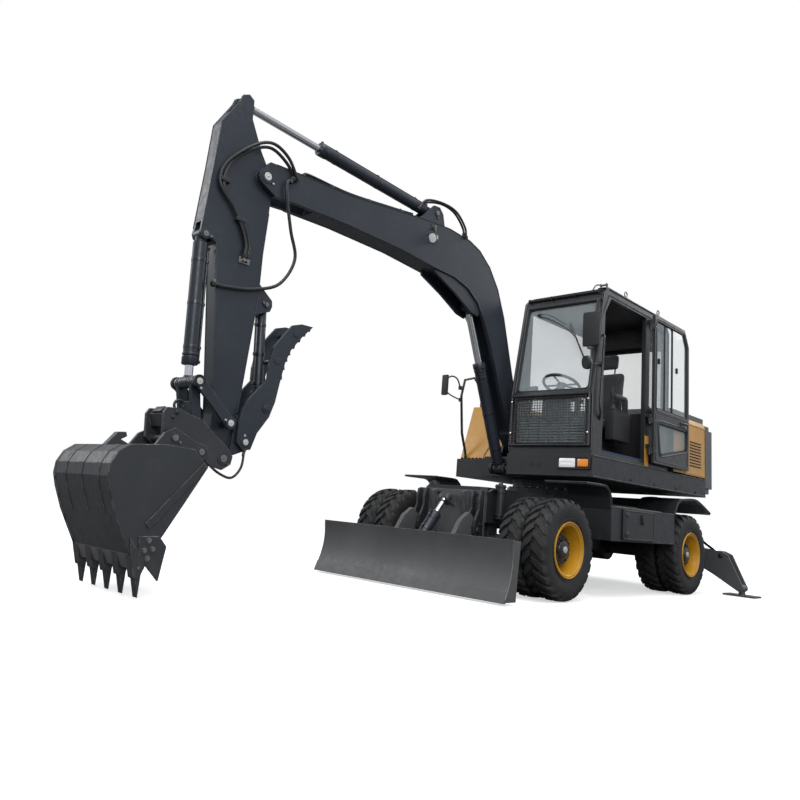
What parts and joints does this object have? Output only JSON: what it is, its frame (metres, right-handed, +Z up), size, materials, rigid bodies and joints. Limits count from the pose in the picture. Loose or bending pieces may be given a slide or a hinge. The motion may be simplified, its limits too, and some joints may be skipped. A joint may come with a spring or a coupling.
{
  "type": "wheeled excavator",
  "caption": "Wheeled excavator with twin tyres, a dozer blade in front, outriggers behind, an open cab door and a bent boom with arm, thumb and bucket.",
  "frame": {"origin": "on the ground, under the middle of the machine's box", "axes": "+X to the cab's side, +Y from the bucket towards the counterweight, +Z up"},
  "size_m": [3.042, 7.3866, 3.6607],
  "materials": {
    "tyre": "black rubber with worn tread edges",
    "rim_yellow": "gloss yellow paint",
    "chrome_rod": "hard chrome plated",
    "bucket_grey": "satin dark grey paint, worn to bare steel on the back and teeth",
    "slate_paint": "satin dark slate paint",
    "blade_grey": "satin grey paint",
    "yellow_panel": "gloss orange-yellow paint",
    "grey_panel": "satin mid grey paint",
    "cab_grey": "satin near-black grey paint",
    "cab_trim": "moulded black plastic and cloth",
    "cast_iron": "painted castings",
    "rail_black": "gloss black paint",
    "frame_grey": "satin dark grey paint",
    "glass": "clear glass"
  },
  "bodies": {
    "arm": {"arm": "slate_paint"},
    "arm_cylinder_barrel": {"arm_cylinder_barrel": "slate_paint"},
    "arm_cylinder_rod": {"arm_cylinder_rod": "chrome_rod"},
    "blade": {"blade": "blade_grey"},
    "blade_cylinder_barrel": {"blade_cylinder_barrel": "slate_paint"},
    "blade_cylinder_rod": {"blade_cylinder_rod": "chrome_rod"},
    "boom": {"boom": "slate_paint"},
    "boom_cylinder_barrel": {"boom_cylinder_barrel": "slate_paint"},
    "boom_cylinder_rod": {"boom_cylinder_rod": "chrome_rod"},
    "bucket": {"bucket": "bucket_grey", "quick_hitch": "bucket_grey"},
    "bucket_cylinder_barrel": {"bucket_cylinder_barrel": "slate_paint"},
    "bucket_cylinder_rod": {"bucket_cylinder_rod": "chrome_rod"},
    "cab_door": {"cab_door": "cab_grey"},
    "chassis": {"blade_bracket": "blade_grey", "chassis_frame": "frame_grey", "front_axle": "cast_iron", "rear_axle": "cast_iron", "side_box_left": "frame_grey", "side_box_right": "frame_grey", "transmission": "cast_iron"},
    "engine_door_left": {"engine_door_left": "yellow_panel"},
    "engine_door_right": {"engine_door_right": "yellow_panel"},
    "foot_left": {"outrigger_foot_left": "blade_grey"},
    "foot_right": {"outrigger_foot_right": "blade_grey"},
    "hood": {"engine_hood": "grey_panel"},
    "outrigger_cylinder_left_barrel": {"outrigger_cylinder_left_barrel": "slate_paint"},
    "outrigger_cylinder_left_rod": {"outrigger_cylinder_left_rod": "chrome_rod"},
    "outrigger_cylinder_right_barrel": {"outrigger_cylinder_right_barrel": "slate_paint"},
    "outrigger_cylinder_right_rod": {"outrigger_cylinder_right_rod": "chrome_rod"},
    "outrigger_left": {"outrigger_leg_left": "blade_grey"},
    "outrigger_right": {"outrigger_leg_right": "blade_grey"},
    "push_link": {"push_link": "slate_paint"},
    "rocker": {"side_link_left": "slate_paint", "side_link_right": "slate_paint"},
    "steering_left": {"knuckle_left": "cast_iron"},
    "steering_right": {"knuckle_right": "cast_iron"},
    "thumb": {"thumb": "slate_paint"},
    "thumb_cylinder_barrel": {"thumb_cylinder_barrel": "slate_paint"},
    "thumb_cylinder_rod": {"thumb_cylinder_rod": "chrome_rod"},
    "toolbox_left": {"toolbox_door_left": "frame_grey"},
    "toolbox_right": {"toolbox_door_right": "frame_grey"},
    "upper": {"cab_console": "cab_trim", "cab_shell": "cab_grey", "counterweight": "grey_panel", "engine_block": "cast_iron", "grab_rail": "rail_black", "seat": "cab_trim", "tank_cover": "yellow_panel", "upper_frame": "frame_grey"},
    "wheel_front_left": {"rim_front_left": "rim_yellow", "tyre_front_left": "tyre"},
    "wheel_front_right": {"rim_front_right": "rim_yellow", "tyre_front_right": "tyre"},
    "wheel_rear_left": {"rim_rear_left": "rim_yellow", "tyre_rear_left": "tyre"},
    "wheel_rear_right": {"rim_rear_right": "rim_yellow", "tyre_rear_right": "tyre"}
  },
  "joints": [
    {"name": "swing", "type": "hinge", "parent": "chassis", "child": "upper", "pos_m": [0, 1.59327, 1.09], "axis": [0, 0, 1], "continuous": true},
    {"name": "boom_lift", "type": "hinge", "parent": "upper", "child": "boom", "pos_m": [-0.1, 0.97327, 1.42], "axis": [-1, 0, 0], "range_deg": [-55, 38]},
    {"name": "arm_crowd", "type": "hinge", "parent": "boom", "child": "arm", "pos_m": [-0.1, -2.6872, 3.05741], "axis": [1, 0, 0], "range_deg": [-60, 45]},
    {"name": "bucket_curl", "type": "hinge", "parent": "arm", "child": "bucket", "pos_m": [-0.1, -2.76673, 0.896], "axis": [1, 0, 0], "range_deg": [-10, 120]},
    {"name": "side_link_turn", "type": "hinge", "parent": "arm", "child": "rocker", "pos_m": [-0.1, -2.76631, 1.14272], "axis": [1, 0, 0], "range_deg": [-7.8, 92.9]},
    {"name": "push_link_turn", "type": "hinge", "parent": "rocker", "child": "push_link", "pos_m": [-0.1, -3.04873, 1.392], "axis": [1, 0, 0], "range_deg": [-68.9, 5.8]},
    {"name": "thumb_close", "type": "hinge", "parent": "arm", "child": "thumb", "pos_m": [-0.1, -2.59297, 1.03029], "axis": [1, 0, 0], "range_deg": [-115, 0]},
    {"name": "boom_cylinder_swing", "type": "hinge", "parent": "upper", "child": "boom_cylinder_barrel", "pos_m": [-0.1, 0.66327, 1.16], "axis": [-1, 0, 0], "range_deg": [-53.32, 36.84]},
    {"name": "boom_cylinder_stroke", "type": "slide", "parent": "boom_cylinder_barrel", "child": "boom_cylinder_rod", "axis": [0, -0.404, 0.9147], "range_m": [-0.3516, 0.2429]},
    {"name": "arm_cylinder_swing", "type": "hinge", "parent": "boom", "child": "arm_cylinder_barrel", "pos_m": [-0.1, -0.687, 3.50251], "axis": [1, 0, 0], "range_deg": [-4.62, 3.46]},
    {"name": "arm_cylinder_stroke", "type": "slide", "parent": "arm_cylinder_barrel", "child": "arm_cylinder_rod", "axis": [0, -0.9992, 0.04], "range_m": [-0.5295, 0.3972]},
    {"name": "bucket_cylinder_swing", "type": "hinge", "parent": "arm", "child": "bucket_cylinder_barrel", "pos_m": [-0.1, -3.10956, 2.46044], "axis": [1, 0, 0], "range_deg": [-2.41, 0.21]},
    {"name": "bucket_cylinder_stroke", "type": "slide", "parent": "bucket_cylinder_barrel", "child": "bucket_cylinder_rod", "axis": [0, 0.0568, -0.9984], "range_m": [-0.0453, 0.5432]},
    {"name": "thumb_cylinder_swing", "type": "hinge", "parent": "arm", "child": "thumb_cylinder_barrel", "pos_m": [-0.1, -2.51726, 2.08802], "axis": [1, 0, 0], "range_deg": [0, 4.42]},
    {"name": "thumb_cylinder_stroke", "type": "slide", "parent": "thumb_cylinder_barrel", "child": "thumb_cylinder_rod", "axis": [0, 0.0849, -0.9964], "range_m": [0, 0.5096]},
    {"name": "blade_lift", "type": "hinge", "parent": "chassis", "child": "blade", "pos_m": [0, -0.28673, 0.53], "axis": [-1, 0, 0], "range_deg": [-20, 35]},
    {"name": "blade_cylinder_swing", "type": "hinge", "parent": "blade", "child": "blade_cylinder_barrel", "pos_m": [0, -0.70673, 0.3], "axis": [-1, 0, 0], "range_deg": [-10.49, 6]},
    {"name": "blade_cylinder_stroke", "type": "slide", "parent": "blade_cylinder_barrel", "child": "blade_cylinder_rod", "axis": [0, 0.6387, 0.7695], "range_m": [-0.1176, 0.0672]},
    {"name": "outrigger_left_lift", "type": "hinge", "parent": "chassis", "child": "outrigger_left", "pos_m": [0.45, 3.54827, 0.42], "axis": [0, -1, 0], "range_deg": [0, 45]},
    {"name": "foot_left_tilt", "type": "hinge", "parent": "outrigger_left", "child": "foot_left", "pos_m": [1.346, 3.54827, 0.092], "axis": [0, -1, 0], "range_deg": [-20, 20]},
    {"name": "outrigger_cylinder_left_swing", "type": "hinge", "parent": "chassis", "child": "outrigger_cylinder_left_barrel", "pos_m": [0.3, 3.54827, 0.99], "axis": [0, -1, 0], "range_deg": [0, 26.3]},
    {"name": "outrigger_cylinder_left_stroke", "type": "slide", "parent": "outrigger_cylinder_left_barrel", "child": "outrigger_cylinder_left_rod", "axis": [0.8333, 0, -0.5529], "range_m": [-0.3643, 0]},
    {"name": "outrigger_right_lift", "type": "hinge", "parent": "chassis", "child": "outrigger_right", "pos_m": [-0.45, 3.54827, 0.42], "axis": [0, 1, 0], "range_deg": [0, 45]},
    {"name": "foot_right_tilt", "type": "hinge", "parent": "outrigger_right", "child": "foot_right", "pos_m": [-1.346, 3.54827, 0.092], "axis": [0, 1, 0], "range_deg": [-20, 20]},
    {"name": "outrigger_cylinder_right_swing", "type": "hinge", "parent": "chassis", "child": "outrigger_cylinder_right_barrel", "pos_m": [-0.3, 3.54827, 0.99], "axis": [0, 1, 0], "range_deg": [0, 26.3]},
    {"name": "outrigger_cylinder_right_stroke", "type": "slide", "parent": "outrigger_cylinder_right_barrel", "child": "outrigger_cylinder_right_rod", "axis": [-0.8333, 0, -0.5529], "range_m": [-0.3643, 0]},
    {"name": "steering_left", "type": "hinge", "parent": "chassis", "child": "steering_left", "pos_m": [0.6, 0.06327, 0.4325], "axis": [0, 0, 1], "range_deg": [-30, 30]},
    {"name": "steering_right", "type": "hinge", "parent": "chassis", "child": "steering_right", "pos_m": [-0.6, 0.06327, 0.4325], "axis": [0, 0, 1], "range_deg": [-30, 30]},
    {"name": "wheel_front_left_spin", "type": "hinge", "parent": "steering_left", "child": "wheel_front_left", "pos_m": [0.64, 0.06327, 0.4325], "axis": [1, 0, 0], "continuous": true},
    {"name": "wheel_front_right_spin", "type": "hinge", "parent": "steering_right", "child": "wheel_front_right", "pos_m": [-0.64, 0.06327, 0.4325], "axis": [1, 0, 0], "continuous": true},
    {"name": "wheel_rear_left_spin", "type": "hinge", "parent": "chassis", "child": "wheel_rear_left", "pos_m": [0.64, 2.65577, 0.4325], "axis": [1, 0, 0], "continuous": true},
    {"name": "wheel_rear_right_spin", "type": "hinge", "parent": "chassis", "child": "wheel_rear_right", "pos_m": [-0.64, 2.65577, 0.4325], "axis": [1, 0, 0], "continuous": true},
    {"name": "cab_door_hinge", "type": "hinge", "parent": "upper", "child": "cab_door", "pos_m": [1.073, 1.66327, 1.345], "axis": [0, 0, -1], "range_deg": [0, 178]},
    {"name": "hood_hinge", "type": "hinge", "parent": "upper", "child": "hood", "pos_m": [0, 2.31327, 2.025], "axis": [1, 0, 0], "range_deg": [0, 60]},
    {"name": "engine_door_left_hinge", "type": "hinge", "parent": "upper", "child": "engine_door_left", "pos_m": [1.064, 3.18827, 1.315], "axis": [0, 0, 1], "range_deg": [0, 95]},
    {"name": "engine_door_right_hinge", "type": "hinge", "parent": "upper", "child": "engine_door_right", "pos_m": [-1.064, 3.18827, 1.315], "axis": [0, 0, -1], "range_deg": [0, 95]},
    {"name": "toolbox_door_left_hinge", "type": "hinge", "parent": "chassis", "child": "toolbox_left", "pos_m": [1.1263, 1.01827, 0.69], "axis": [0, 0, -1], "range_deg": [0, 110]},
    {"name": "toolbox_door_right_hinge", "type": "hinge", "parent": "chassis", "child": "toolbox_right", "pos_m": [-1.1263, 1.01827, 0.69], "axis": [0, 0, 1], "range_deg": [0, 110]}
  ],
  "couplings": [
    {"joint": "side_link_turn", "follows": "bucket_curl", "ratio": 0.7734},
    {"joint": "push_link_turn", "follows": "bucket_curl", "ratio": -0.5739},
    {"joint": "boom_cylinder_swing", "follows": "boom_lift", "ratio": 0.96935},
    {"joint": "boom_cylinder_stroke", "follows": "boom_lift", "m_per_rad": 0.36623},
    {"joint": "arm_cylinder_swing", "follows": "arm_crowd", "ratio": 0.07685},
    {"joint": "arm_cylinder_stroke", "follows": "arm_crowd", "m_per_rad": 0.50563},
    {"joint": "bucket_cylinder_swing", "follows": "bucket_curl", "ratio": -0.02004},
    {"joint": "bucket_cylinder_stroke", "follows": "bucket_curl", "m_per_rad": 0.25935},
    {"joint": "thumb_cylinder_swing", "follows": "thumb_close", "ratio": -0.03843},
    {"joint": "thumb_cylinder_stroke", "follows": "thumb_close", "m_per_rad": -0.25389},
    {"joint": "blade_cylinder_swing", "follows": "blade_lift", "ratio": -0.29968},
    {"joint": "blade_cylinder_stroke", "follows": "blade_lift", "m_per_rad": -0.19243},
    {"joint": "outrigger_cylinder_left_swing", "follows": "outrigger_left_lift", "ratio": 0.58442},
    {"joint": "outrigger_cylinder_left_stroke", "follows": "outrigger_left_lift", "m_per_rad": -0.46372},
    {"joint": "outrigger_cylinder_right_swing", "follows": "outrigger_right_lift", "ratio": 0.58442},
    {"joint": "outrigger_cylinder_right_stroke", "follows": "outrigger_right_lift", "m_per_rad": -0.46372},
    {"joint": "steering_right", "follows": "steering_left", "ratio": 1}
  ]
}
